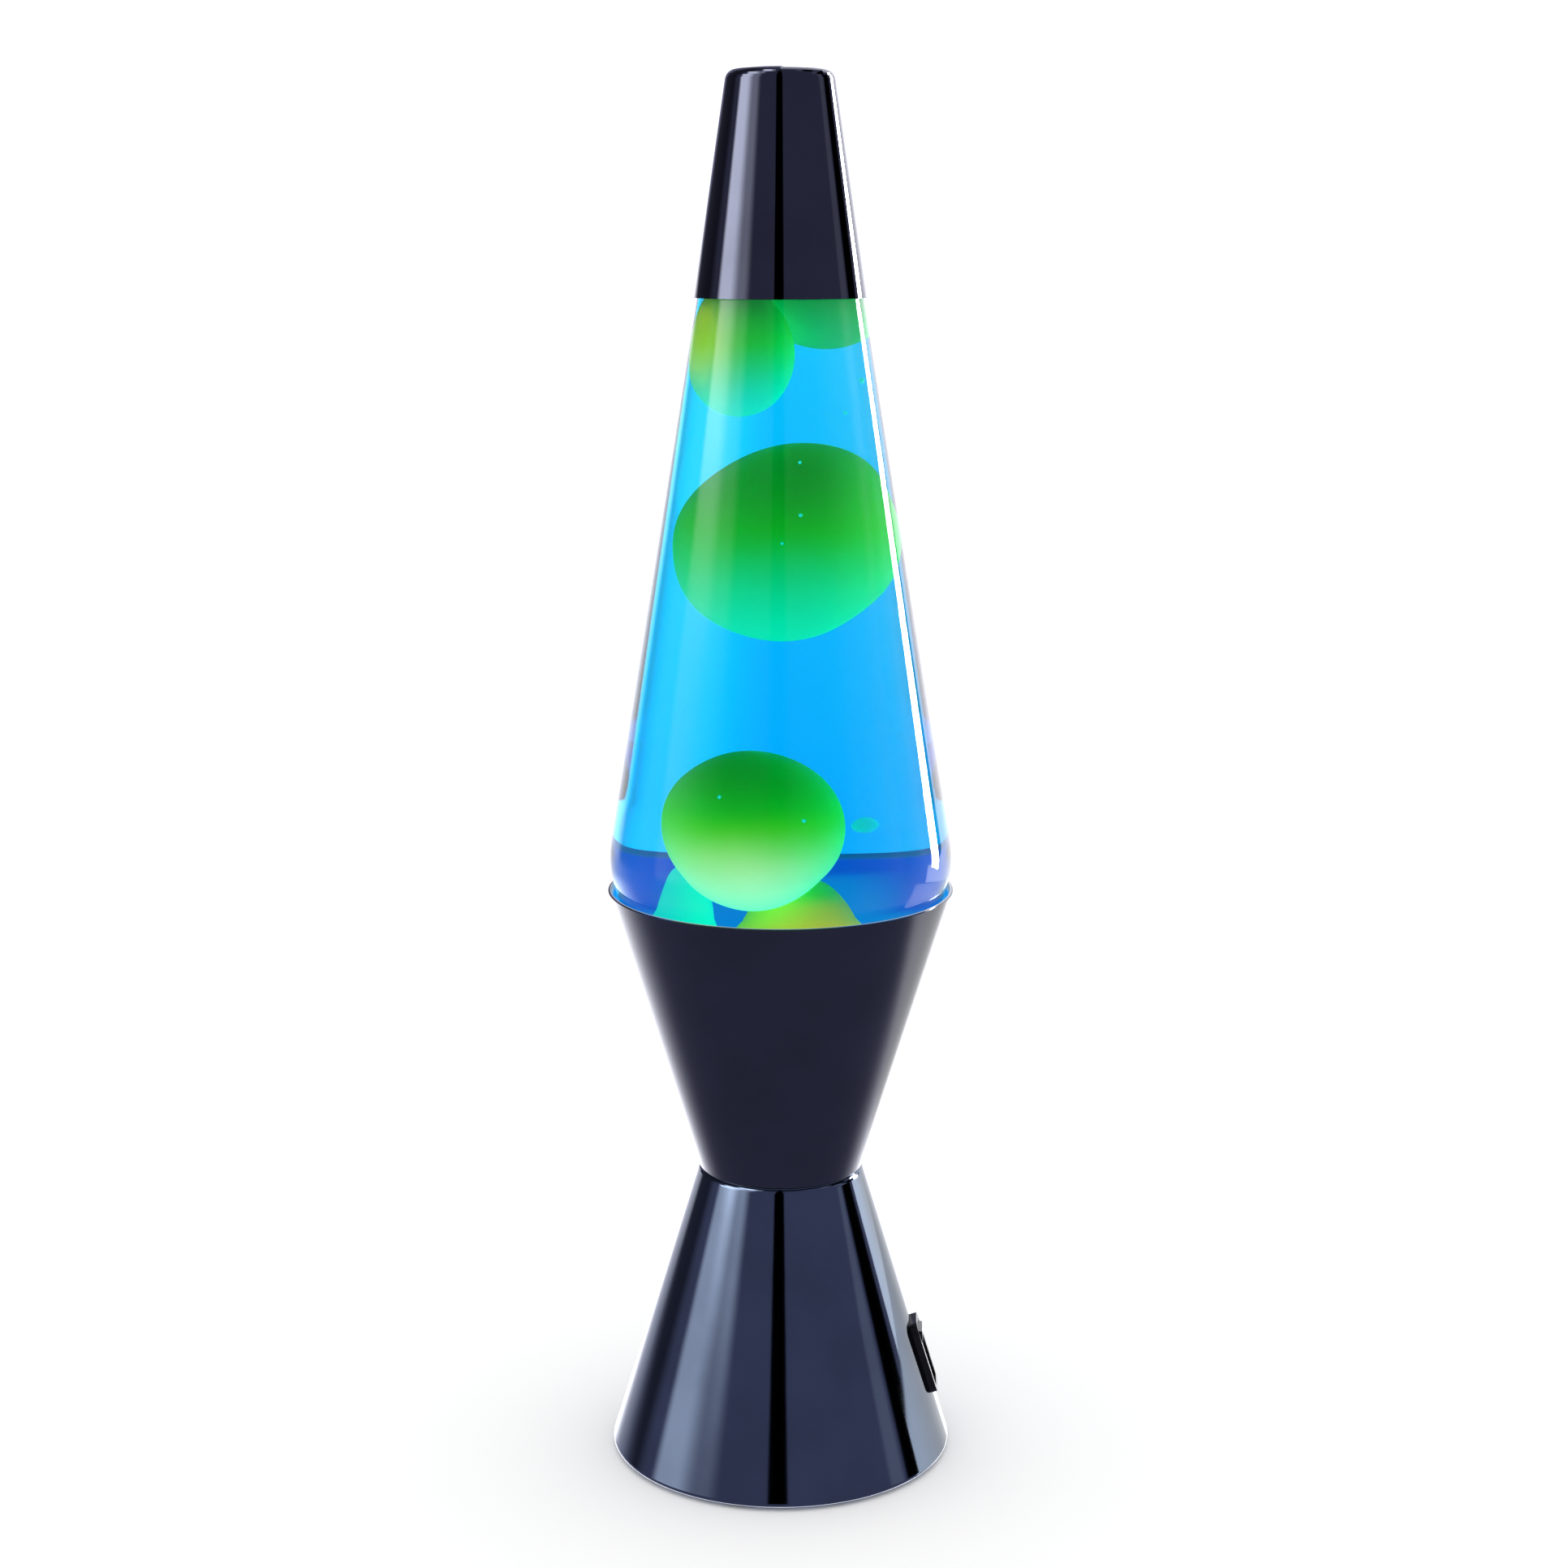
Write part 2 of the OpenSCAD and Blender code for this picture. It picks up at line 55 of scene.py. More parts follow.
# Metres, degrees and millimetres of lens, fitted to the outline of the lamp in the photo.
CAMERA_DISTANCE = 0.7099
CAMERA_HEIGHT = 0.3281
CAMERA_SIDE = 0.0009
CAMERA_PITCH = 11.433
CAMERA_LENS = 62.9
SENSOR_WIDTH = 36


def make_camera():
    data = bpy.data.cameras.new("camera")
    data.lens = CAMERA_LENS
    data.sensor_width = SENSOR_WIDTH
    data.clip_start = 0.05
    camera = bpy.data.objects.new("camera", data)
    camera.location = (CAMERA_SIDE, -CAMERA_DISTANCE, CAMERA_HEIGHT)
    camera.rotation_euler = (math.radians(90 - CAMERA_PITCH), 0, 0)
    bpy.context.scene.collection.objects.link(camera)
    bpy.context.scene.camera = camera


make_camera()

# ---------- Node helpers ----------


class Nodes:
    """A short way to add shader nodes and links to one tree."""

    def __init__(self, tree):
        self.tree = tree
        tree.nodes.clear()

    def add(self, kind, inputs=None, **settings):
        node = self.tree.nodes.new("ShaderNode" + kind)
        for key, value in settings.items():
            setattr(node, key, value)
        for key, value in (inputs or {}).items():
            self.put(node.inputs[key], value)
        return node

    def put(self, socket, value):
        if isinstance(value, bpy.types.NodeSocket):
            self.tree.links.new(value, socket)
        else:
            socket.default_value = value

    def math(self, operation, a, b=0.0, c=0.0):
        return self.add("Math", {0: a, 1: b, 2: c}, operation=operation).outputs[0]

    def step(self, value, start, end, low=0.0, high=1.0):
        """Smooth step from low at start to high at end."""
        node = self.add(
            "MapRange",
            {"Value": value, "From Min": start, "From Max": end, "To Min": low, "To Max": high},
            interpolation_type="SMOOTHSTEP",
        )
        return node.outputs[0]

    def mix(self, factor, a, b):
        return self.add("Mix", {0: factor, 6: a, 7: b}, data_type="RGBA").outputs[2]

    def noise(self, vector, scale, detail):
        return self.add("TexNoise", {"Vector": vector, "Scale": scale, "Detail": detail}).outputs[0]

    def stretched(self, vector, size):
        return self.add("Mapping", {"Vector": vector, "Scale": size}).outputs[0]


def rgb(*values):
    return (*values, 1.0)


def shade(colour, factor=1.0):
    """The colour made lighter or darker."""
    return rgb(*[min(1.0, share * factor) for share in colour])


def new_material(name):
    material = bpy.data.materials.new(name)
    material.use_nodes = True
    n = Nodes(material.node_tree)
    out = n.add("OutputMaterial")
    shader = n.add("BsdfPrincipled")
    n.put(out.inputs["Surface"], shader.outputs[0])
    return material, n, shader, out


def object_position(n):
    return n.add("TexCoord").outputs["Object"]


def coordinates(n):
    """The position as three sockets: to the right, to the back and up."""
    return n.add("SeparateXYZ", {0: object_position(n)}).outputs[:3]


def axis_distance(n, x, y):
    return n.math("SQRT", n.math("ADD", n.math("MULTIPLY", x, x), n.math("MULTIPLY", y, y)))


def bump(n, shader, height, distance, strength=1.0):
    node = n.add("Bump", {"Height": height, "Distance": distance, "Strength": strength})
    n.put(shader.inputs["Normal"], node.outputs[0])


def around_and_up(n):
    """The position as angle round the lamp's axis, distance from it and height, for spun metal."""
    x, y, z = coordinates(n)
    return n.add("CombineXYZ", {0: n.math("ARCTAN2", y, x), 1: axis_distance(n, x, y), 2: z}).outputs[0]


def bearing_of(n, x, y):
    """Angle round the axis in radians: 0 in front, a quarter turn on the right."""
    return n.math("ARCTAN2", x, n.math("MULTIPLY", y, -1.0))


def degrees_step(n, angle, start, end, low=0.0, high=1.0):
    """Smooth step of an angle in radians between two angles in degrees."""
    return n.step(angle, math.radians(start), math.radians(end), low, high)


def degrees_band(n, angle, start, end, soft):
    """1 between two angles in degrees, with soft edges."""
    rise = degrees_step(n, angle, start - soft, start + soft)
    fall = degrees_step(n, angle, end - soft, end + soft, 1.0, 0.0)
    return n.math("MULTIPLY", rise, fall)


# ---------- Materials ----------

# Noise cells per radian round the axis, then per metre outwards and upwards.
SPINNING_LINES = (1.2, 2500, 2500)
# Noise cells per metre along each axis.
SCRATCHES = (300, 300, 3600)
# Radians of the stripes' sine wave per metre of height.
EARTH_STRIPES = 4500
# Outside radius of the cup at its floor, and how deep its lacquer goes, in metres.
CUP_FOOT_R = 0.0218
LACQUER_DEPTH = 0.0004
# Metres under the cup's rim between which each fades in, and metres over the cup's floor
# between which the painted glow for the bulb's light on its inside does. The blue band is a
# painted reflection of the blue liquid.
PAINTED_BLUE_BAND = (0.007, 0.004)
CUT_EDGE = (0.0018, 0.001)
PAINTED_GLOW_FROM, PAINTED_GLOW_TO = 0.03, 0.06
# The cup's bare inside and its blue band: colour of the surface (for the band, a painted reflection
# of the blue liquid), and colour of the painted glow for the bulb's light on it.
BARE_COLOUR, PAINTED_BULB_GLOW = (0.14, 0.145, 0.15), (0.7, 0.8, 1.0)
PAINTED_BLUE_REFLECTION, PAINTED_BAND_GLOW = (0.04, 0.25, 0.6), (0.0, 0.26, 0.75)
# Heights in metres between which the painted strength of the dry glass's reflections grows, each with its
# level.
PAINTED_MIRROR_LOW, PAINTED_MIRROR_HIGH = (0.19, 0.2), (0.3, 0.55)
# Painted colour of the dry glass's reflections on its left and right sides.
LEFT_PAINTED_TINT, RIGHT_PAINTED_TINT = (0.0, 0.75, 1.0), (0.85, 0.96, 1.0)
WET_TINT = 0.05
GLASS_IOR = 1.5
LIQUID_IOR = 1.333
LIQUID_COLOUR = (0.06, 0.95, 0.9956)
LIQUID_DENSITY = 160.0
WAX_COLOUR = (0.85, 0.93, 0.05)
GREEN_WAX = (0.1, 0.9, 0.03)
# Share of a blob's height by which its clouds lift its painted glow, and the painted red glow added to its
# lime side.
CLOUD_LIFT = 0.08
PAINTED_SIDE_RED = 0.025


def spun_lacquer(name, colour, roughness, wear):
    """Dark tinted metal under clear lacquer, with faint spinning lines and haze."""
    material, n, s, _ = new_material(name)
    lines = n.noise(n.stretched(around_and_up(n), SPINNING_LINES), 1.0, 2)
    haze = n.noise(object_position(n), 45, 4)
    tinted = n.mix(n.step(haze, 0.35, 0.65), shade(colour, 0.94), shade(colour, 1.07))
    n.put(s.inputs["Base Color"], tinted)
    s.inputs["Metallic"].default_value = 1.0
    rough = n.math("ADD", roughness, n.math("MULTIPLY", n.math("SUBTRACT", lines, 0.5), wear))
    n.put(s.inputs["Roughness"], n.math("ADD", rough, n.math("MULTIPLY", haze, wear * 0.5)))
    bump(n, s, lines, 0.0000008 + wear * 0.000002)
    return material, n, s, tinted, rough


def lacquered_metal(name, colour, roughness, wear):
    return spun_lacquer(name, colour, roughness, wear)[0]


def cup_lacquer(name, colour, roughness, wear):
    """Lacquer outside; inside, bare metal with a painted reflection of the blue liquid in a band under the
    rim, and painted glow for the bulb's light.
    """
    material, n, s, tinted, rough = spun_lacquer(name, colour, roughness, wear)
    low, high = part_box("cup_cone")
    x, y, z = coordinates(n)
    slope = (high.x - CUP_FOOT_R) / (high.z - low.z)
    outside = n.math("ADD", CUP_FOOT_R, n.math("MULTIPLY", n.math("SUBTRACT", z, low.z), slope))
    depth = n.math("SUBTRACT", outside, axis_distance(n, x, y))
    inside = n.step(depth, LACQUER_DEPTH, LACQUER_DEPTH + 0.0001)
    cut_edge = n.step(z, *[high.z - under for under in CUT_EDGE])
    # The band is the painted reflection of the blue liquid under the rim.
    painted_band = n.math("SUBTRACT", n.step(z, *[high.z - under for under in PAINTED_BLUE_BAND]), cut_edge)
    bare = n.mix(painted_band, shade(BARE_COLOUR), shade(PAINTED_BLUE_REFLECTION))
    n.put(s.inputs["Base Color"], n.mix(inside, tinted, bare))
    n.put(s.inputs["Metallic"], n.math("SUBTRACT", 1.0, n.math("MULTIPLY", inside, 0.75)))
    n.put(s.inputs["Roughness"], n.math("ADD", rough, n.math("MULTIPLY", inside, 0.2)))
    # Emission on the inside is painted glow for the bulb's light, blue in the band; it is brightest part way
    # down, weaker towards the rim, on the cut edge and deep down.
    n.put(s.inputs["Emission Color"], n.mix(painted_band, shade(PAINTED_BULB_GLOW), shade(PAINTED_BAND_GLOW)))
    light = n.step(z, high.z - PAINTED_BLUE_BAND[1], low.z + PAINTED_GLOW_FROM, 0.65, 1.7)
    light = n.math("SUBTRACT", light, n.math("MULTIPLY", cut_edge, 0.35))
    light = n.math("MULTIPLY", light, n.step(z, low.z + PAINTED_GLOW_FROM, low.z + PAINTED_GLOW_TO, 0.22, 1.0))
    n.put(s.inputs["Emission Strength"], n.math("MULTIPLY", inside, light))
    return material


def bare_metal(name, colour, roughness):
    """Bright metal with grime and fine scratches."""
    material, n, s, _ = new_material(name)
    place = object_position(n)
    grime = n.noise(place, 160, 4)
    scratches = n.noise(n.stretched(place, SCRATCHES), 1.0, 2)
    n.put(s.inputs["Base Color"], n.mix(n.step(grime, 0.4, 0.62), shade(colour, 0.72), shade(colour)))
    s.inputs["Metallic"].default_value = 1.0
    n.put(s.inputs["Roughness"], n.math("ADD", roughness, n.math("MULTIPLY", scratches, 0.2)))
    bump(n, s, scratches, 0.00001)
    return material


def moulded(name, colour, roughness, texture, depth, shine=0.5):
    """Plastic, rubber or porcelain with a fine moulded grain."""
    material, n, s, _ = new_material(name)
    place = object_position(n)
    grain = n.noise(place, texture, 2)
    cloud = n.noise(place, 90, 3)
    n.put(s.inputs["Base Color"], n.mix(cloud, shade(colour, 0.85), shade(colour, 1.15)))
    n.put(s.inputs["Roughness"], n.math("ADD", roughness - 0.05, n.math("MULTIPLY", cloud, 0.1)))
    s.inputs["Specular IOR Level"].default_value = shine
    bump(n, s, grain, depth)
    return material


def lead_sheath(name, colour, stripe=None):
    """PVC sheath, with stripes of a second colour if there is one."""
    material, n, s, _ = new_material(name)
    place = object_position(n)
    base = n.mix(n.noise(place, 220, 3), shade(colour, 0.8), shade(colour))
    if stripe:
        height = coordinates(n)[2]
        stripes = n.step(n.math("SINE", n.math("MULTIPLY", height, EARTH_STRIPES)), -0.1, 0.1)
        base = n.mix(stripes, base, shade(stripe))
    n.put(s.inputs["Base Color"], base)
    s.inputs["Roughness"].default_value = 0.38
    bump(n, s, n.noise(place, 1800, 2), 0.000008)
    return material


def clear_glass(name, tint):
    """Soda glass with a trace of waviness; the tint says how much it mirrors."""
    material, n, s, _ = new_material(name)
    s.inputs["Base Color"].default_value = rgb(0.985, 0.995, 0.99)
    s.inputs["Transmission Weight"].default_value = 1.0
    s.inputs["IOR"].default_value = GLASS_IOR
    s.inputs["Roughness"].default_value = 0.0
    s.inputs["Specular Tint"].default_value = rgb(tint, tint, tint)
    bump(n, s, n.noise(object_position(n), 28, 2), 0.00004, 0.25)
    return material, n, s


def wet_glass(name):
    """The same glass where the liquid wets it: it hardly mirrors there."""
    return clear_glass(name, WET_TINT)[0]


def bottle_glass(name):
    """Glass with painted reflections: weaker towards its foot, blue on its left side and pale on its right.
    """
    material, n, s = clear_glass(name, 1.0)
    x, y, z = coordinates(n)
    bearing = bearing_of(n, x, y)
    level = n.step(z, PAINTED_MIRROR_LOW[0], PAINTED_MIRROR_HIGH[0], PAINTED_MIRROR_LOW[1], PAINTED_MIRROR_HIGH[1])
    tint = n.add("CombineColor", {0: level, 1: level, 2: level}).outputs[0]
    tint = n.mix(degrees_band(n, bearing, 67, 110, 2), tint, shade(RIGHT_PAINTED_TINT))
    tint = n.mix(degrees_band(n, bearing, -110, -62, 6), tint, shade(LEFT_PAINTED_TINT))
    n.put(s.inputs["Specular Tint"], tint)
    return material


def coloured_liquid(name):
    """Liquid that takes the red out of the light that passes through it."""
    material, n, s, out = new_material(name)
    s.inputs["Base Color"].default_value = rgb(1, 0.73, 1)
    s.inputs["Transmission Weight"].default_value = 1.0
    s.inputs["IOR"].default_value = LIQUID_IOR
    s.inputs["Roughness"].default_value = 0.0
    s.inputs["Specular Tint"].default_value = rgb(WET_TINT, WET_TINT, WET_TINT)
    volume = n.add("VolumeAbsorption")
    volume.inputs["Color"].default_value = rgb(*LIQUID_COLOUR)
    volume.inputs["Density"].default_value = LIQUID_DENSITY
    n.put(out.inputs["Volume"], volume.outputs[0])
    bump(n, s, n.noise(object_position(n), 60, 2), 0.00001, 0.2)
    return material


def height_ramps(n, depth, red_band):
    """How far the red, green and blue of the wax's painted glow have risen at a depth of 0 (top) to 1 (foot).
    """
    if red_band:
        start, full, end = red_band
        red = n.math("MULTIPLY", n.step(depth, start, full), n.step(depth, end, end + 0.2, 1.0, 0.0))
    else:
        deep = n.add("MapRange", {"Value": depth, "From Min": 0.25, "From Max": 1.0}).outputs[0]
        red = n.math("POWER", deep, 2.6)
    return red, n.math("POWER", depth, 1.5), n.step(depth, 0.38, 1.02)


def wax_with_painted_glow(name, colour, low, high, glow, ambient=(0, 0, 0), red_band=None, painted_lime_side=None):
    """Cloudy wax with painted light from underneath: it gives off the ambient colour at high and the glow
    colour at low.

    red_band keeps the painted red to a band of depths; painted_lime_side paints the wax lime from one x to
    another, with painted red glow there.
    """
    material, n, s, _ = new_material(name)
    place = object_position(n)
    x, _, height = coordinates(n)
    cloud = n.noise(place, 55, 3)
    lift = n.math("MULTIPLY", n.math("SUBTRACT", cloud, 0.5), (high - low) * CLOUD_LIFT)
    wavy = n.math("ADD", height, lift)
    depth = n.add("MapRange", {"Value": wavy, "From Min": high, "From Max": low}).outputs[0]
    base = n.mix(cloud, shade(colour), shade(colour, 1.06))
    # Painted glow: emission that rises from the ambient colour at the top to the glow colour at the foot.
    shares = [n.math("MULTIPLY_ADD", ramp, foot - top, top)
              for ramp, top, foot in zip(height_ramps(n, depth, red_band), ambient, glow)]
    if painted_lime_side:
        near, far, lime = painted_lime_side
        side = n.step(x, far, near)
        base = n.mix(side, base, shade(lime))
        shares[0] = n.math("ADD", shares[0], n.math("MULTIPLY", side, PAINTED_SIDE_RED))
    n.put(s.inputs["Base Color"], base)
    s.inputs["Roughness"].default_value = 0.5
    s.inputs["Specular IOR Level"].default_value = 0.1
    n.put(s.inputs["Emission Color"], n.add("CombineColor", dict(enumerate(shares))).outputs[0])
    s.inputs["Emission Strength"].default_value = 1.0
    bump(n, s, n.noise(place, 160, 2), 0.00003)
    return material


def frosted_bulb(name, low, high):
    """Reflector bulb: silvered up to the height low, frosted and lit from the height high."""
    material, n, s, _ = new_material(name)
    crown = n.step(coordinates(n)[2], low, high)
    n.put(s.inputs["Base Color"], n.mix(crown, rgb(0.75, 0.75, 0.76), rgb(0.95, 0.93, 0.88)))
    n.put(s.inputs["Metallic"], n.math("SUBTRACT", 1.0, crown))
    n.put(s.inputs["Roughness"], n.step(crown, 0.0, 1.0, 0.08, 0.5))
    s.inputs["Emission Color"].default_value = rgb(1.0, 0.82, 0.5)
    n.put(s.inputs["Emission Strength"], n.math("MULTIPLY", crown, 3.0))
    bump(n, s, n.noise(object_position(n), 2500, 2), 0.000006)
    return material


def make_materials():
    """One material for each slot, from its maker and what the maker needs to know."""
    makers = {
        "base_lacquer": (lacquered_metal, (0.087, 0.110, 0.153), 0.06, 0.03),
        "cup_lacquer": (cup_lacquer, (0.050, 0.053, 0.070), 0.2, 0.05),
        "cap_lacquer": (lacquered_metal, (0.053, 0.056, 0.0745), 0.04, 0.02),
        "zinc_steel": (bare_metal, (0.62, 0.62, 0.6), 0.28),
        "cover_paint": (moulded, (0.03, 0.03, 0.035), 0.4, 900, 0.00003),
        "porcelain": (moulded, (0.82, 0.8, 0.74), 0.12, 400, 0.00002),
        "brass": (bare_metal, (0.72, 0.5, 0.2), 0.22),
        "rubber_feet": (moulded, (0.015, 0.015, 0.015), 0.75, 1200, 0.00004),
        "switch_plastic": (moulded, (0.004, 0.004, 0.005), 0.3, 1800, 0.000006, 0.2),
        "rocker_plastic": (moulded, (0.006, 0.006, 0.007), 0.16, 1500, 0.000003, 0.45),
        "bush_plastic": (moulded, (0.014, 0.014, 0.016), 0.45, 1600, 0.00002),
        "block_nylon": (moulded, (0.78, 0.76, 0.68), 0.42, 800, 0.00002),
        "brown_pvc": (lead_sheath, (0.14, 0.05, 0.02)),
        "blue_pvc": (lead_sheath, (0.015, 0.1, 0.42)),
        "earth_pvc": (lead_sheath, (0.04, 0.28, 0.04), (0.7, 0.6, 0.03)),
        "bulb_shell": (bare_metal, (0.75, 0.75, 0.73), 0.25),
        "bulb_insulator": (moulded, (0.02, 0.02, 0.03), 0.1, 600, 0.00001),
        "filament": (bare_metal, (0.5, 0.5, 0.47), 0.3),
        "bottle_glass": (bottle_glass,),
        "wet_glass": (wet_glass,),
        "tinplate": (bare_metal, (0.8, 0.8, 0.79), 0.16),
        "liner": (moulded, (0.2, 0.36, 0.32), 0.5, 1400, 0.00002),
        "blue_liquid": (coloured_liquid,),
        "coil_wire": (bare_metal, (0.6, 0.6, 0.6), 0.2),
    }
    return {name: maker(name, *settings) for name, (maker, *settings) in makers.items()}


MATERIALS = make_materials()


def dress(piece, material):
    piece.data.materials.clear()
    piece.data.materials.append(material)


def dress_cad_nodes():
    """Each CAD node gets the material of its slot in the record."""
    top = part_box("bulb_glass")[1].z
    MATERIALS["bulb_glass"] = frosted_bulb("bulb_glass", low=top - 0.024, high=top - 0.016)
    # The CAD wax glows with painted light from underneath.
    MATERIALS["wax"] = wax_with_painted_glow("wax", WAX_COLOUR, low=0.12, high=0.17, glow=(0.2, 0.4, 0.02))
    slots = {row["node"]: row["material_slot"] for row in frame["record"]["subparts"]}
    for name, piece in frame["nodes"].items():
        dress(piece, MATERIALS[slots[name]])


dress_cad_nodes()

# ---------- Mesh helpers ----------

# Points on a rounded corner and round a lathed piece, and mm of outline between two of its rings.
ARC_STEPS = 8
LATHE_SIDES = 256
LONGEST_STRETCH = 4
# Points nearer than this are one point: mm in an outline, metres in a mesh.
SAME_POINT = 1e-6


def mesh_piece(name, points, faces, body, material):
    """A smooth piece from points in metres, on its body and in its material slot."""
    data = bpy.data.meshes.new(name)
    data.from_pydata(points, [], faces)
    data.update()
    for face in data.polygons:
        face.use_smooth = True
    piece = bpy.data.objects.new(name, data)
    bpy.context.scene.collection.objects.link(piece)
    dress(piece, material)
    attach(piece, body)
    return piece


def corner_arc(a, b, c, radius):
    """Points of the arc that rounds corner b of the path a-b-c."""
    u, v = (a - b).normalized(), (c - b).normalized()
    half = u.angle(v) / 2
    centre = b + (u + v).normalized() * radius / math.sin(half)
    first = b + u * radius / math.tan(half) - centre
    last = b + v * radius / math.tan(half) - centre
    start = math.atan2(first.y, first.x)
    sweep = (math.atan2(last.y, last.x) - start + 3 * math.pi) % (2 * math.pi) - math.pi
    angles = [start + sweep * i / ARC_STEPS for i in range(ARC_STEPS + 1)]
    return [centre + radius * Vector((math.cos(t), math.sin(t))) for t in angles]


def rounded(corners):
    """The path through corners of (radius, height, rounding)."""
    path = [Vector(corner[:2]) for corner in corners]
    points = []
    for i, (_, _, rounding) in enumerate(corners):
        if rounding:
            points.extend(corner_arc(path[i - 1], path[i], path[i + 1], rounding))
        else:
            points.append(path[i])
    return points


def moved(path, distance):
    """The path stepped sideways, to its left."""
    result = []
    for i, point in enumerate(path):
        before = (path[max(i, 1)] - path[max(i, 1) - 1]).normalized()
        after_end = min(i + 1, len(path) - 1)
        after = (path[after_end] - path[after_end - 1]).normalized()
        left_before, left_after = Vector((-before.y, before.x)), Vector((-after.y, after.x))
        middle = (left_before + left_after).normalized()
        result.append(point + middle * (distance / middle.dot(left_before)))
    return result


def lathed(outline):
    """Points and faces of a closed outline of (radius, height) in mm, turned round the axis."""
    sides = LATHE_SIDES
    points, faces, rings = [], [], []
    for radius, height in outline:
        if radius < SAME_POINT:
            rings.append([len(points)] * sides)
            points.append((0, 0, height * MM))
            continue
        rings.append(list(range(len(points), len(points) + sides)))
        for k in range(sides):
            angle = 2 * math.pi * k / sides
            points.append((radius * MM * math.cos(angle), radius * MM * math.sin(angle), height * MM))
    for i, ring in enumerate(rings):
        after = rings[(i + 1) % len(rings)]
        for k in range(sides):
            j = (k + 1) % sides
            corners = list(dict.fromkeys([ring[k], ring[j], after[j], after[k]]))
            if len(corners) > 2:
                faces.append(corners)
    return points, faces


# ---------- Bottle and liquid ----------

# Millimetres. The bottle's outside is a path through its corners; wax keeps a film away from the glass.
GLASS_WALL = 2.3
FLOOR_WALL = 2.4
LIQUID_OVERLAP = 0.15
FILM = 0.35
WET_REACH = 0.4
# The top of the liquid: mm in from the wall and down from FILL_Z. Its middle is SAG under FILL_Z.
MENISCUS = [(3.2, 0), (5.5, 0.4)]
SAG = 0.5
HEEL_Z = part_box("bottle")[0].z / MM
LIP_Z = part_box("bottle")[1].z / MM
FILL_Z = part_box("liquid")[1].z / MM
PUSH_UP_R, PUSH_UP = 10, 3.8
STAND_R = 27
HEEL_R = 34.2
WIDEST_R, WIDEST_Z = 45.85, HEEL_Z + 40.7
SHOULDER_R, SHOULDER_Z = 19.6, 322
NECK_R, NECK_Z = 12.6, 330
BEAD_R, BEAD_Z = 13.3, LIP_Z - 6.8
LIP_R = 12.2


def bottle_outside():
    return rounded([
        (0, HEEL_Z + PUSH_UP, 0), (PUSH_UP_R, HEEL_Z + PUSH_UP, 20), (STAND_R, HEEL_Z, 12),
        (HEEL_R, HEEL_Z, 5), (WIDEST_R, WIDEST_Z, 25), (SHOULDER_R, SHOULDER_Z, 8),
        (NECK_R, NECK_Z, 5), (NECK_R, BEAD_Z, 0.8), (BEAD_R, BEAD_Z + 1, 0.6),
        (BEAD_R, LIP_Z - 1.6, 1), (LIP_R, LIP_Z, 0)])


def wall_radius(height, low, high):
    """Inside radius at a height on the straight wall between two corners of the outside."""
    slope = (high[0] - low[0]) / (high[1] - low[1])
    return low[0] + (height - low[1]) * slope - GLASS_WALL * math.hypot(1, slope)


def inner_radius(height):
    """Radius of the bottle's inside at a height, from the straight walls under and over the widest line."""
    under = wall_radius(height, (HEEL_R, HEEL_Z), (WIDEST_R, WIDEST_Z))
    over = wall_radius(height, (WIDEST_R, WIDEST_Z), (SHOULDER_R, SHOULDER_Z))
    return min(under, over)


def inner_floor(radius):
    """Height of the bottle's pushed-up floor, inside."""
    rise = (STAND_R - radius) / (STAND_R - PUSH_UP_R)
    return HEEL_Z + FLOOR_WALL + PUSH_UP * min(1, max(0, rise))


def resampled(path):
    """The path with its long straight stretches cut up, so that the faces stay compact."""
    points = [path[0]]
    for point in path[1:]:
        start = points[-1]
        count = max(1, math.ceil((point - start).length / LONGEST_STRETCH))
        points.extend(start.lerp(point, (i + 1) / count) for i in range(count))
    return points


def make_bottle():
    """The bottle's shell. Its faces that touch the liquid have a second material."""
    outside = resampled(bottle_outside())
    inside = resampled(moved(bottle_outside(), GLASS_WALL))
    points, faces = lathed(outside + inside[::-1])
    piece = mesh_piece("bottle_glass", points, faces, "bottle", MATERIALS["bottle_glass"])
    piece.data.materials.append(MATERIALS["wet_glass"])
    for face in piece.data.polygons:
        middle, normal = face.center, face.normal
        faces_in = normal.dot(Vector((middle.x, middle.y, 0))) < 0 or abs(normal.z) > 0.7
        near_wall = middle.xy.length < (inner_radius(middle.z / MM) + WET_REACH) * MM
        if faces_in and near_wall and middle.z < FILL_Z * MM:
            face.material_index = 1
    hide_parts("bottle")


def make_liquid():
    """The liquid reaches a hair into the glass, so that no film of air shows, and its top sags."""
    wall = [p for p in moved(bottle_outside(), GLASS_WALL - LIQUID_OVERLAP) if p.y < FILL_Z]
    top = [Vector((wall[-1].x - inward, FILL_Z - down)) for inward, down in MENISCUS]
    points, faces = lathed(resampled(wall) + top + [Vector((0, FILL_Z - SAG))])
    piece = mesh_piece("liquid_fill", points, faces, "bottle", MATERIALS["blue_liquid"])
    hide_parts("liquid")


make_bottle()
make_liquid()

# ---------- Wax ----------

LUMP_SCALE = 1.1


